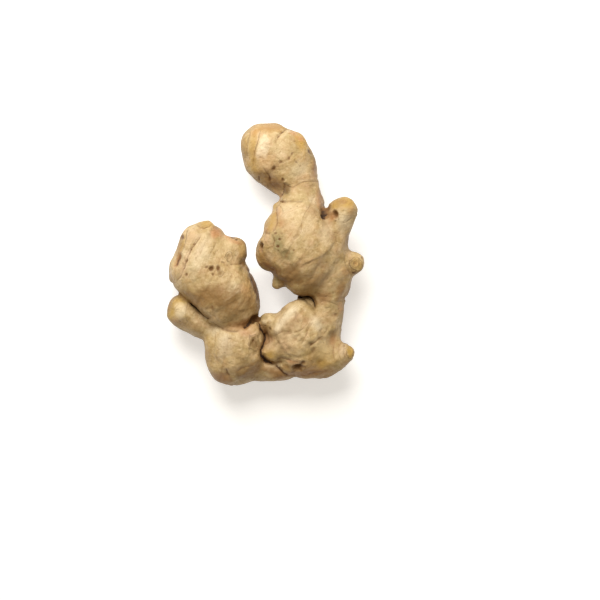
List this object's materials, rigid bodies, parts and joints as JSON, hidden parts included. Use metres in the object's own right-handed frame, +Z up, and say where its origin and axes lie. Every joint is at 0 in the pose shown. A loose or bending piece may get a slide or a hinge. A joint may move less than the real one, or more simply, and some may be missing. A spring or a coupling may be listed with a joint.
{
  "type": "ginger root",
  "caption": "Fresh ginger rhizome: a branched hand of knobbly, ringed lobes with stubby side fingers, lying flat on a surface.",
  "frame": {"origin": "on the surface it rests on, under the middle of the hand's outline seen from above", "axes": "+Z up from the surface, +Y along the hand from the joined base to the tip of the long arm, +X to the side of the short fingers"},
  "size_m": [0.0886, 0.1174, 0.0346],
  "materials": {
    "ginger_skin": "matte, thin corky skin with fine lengthwise wrinkles, ring scars and yellow tips"
  },
  "bodies": {
    "root": {"rhizome": "ginger_skin"}
  },
  "joints": []
}
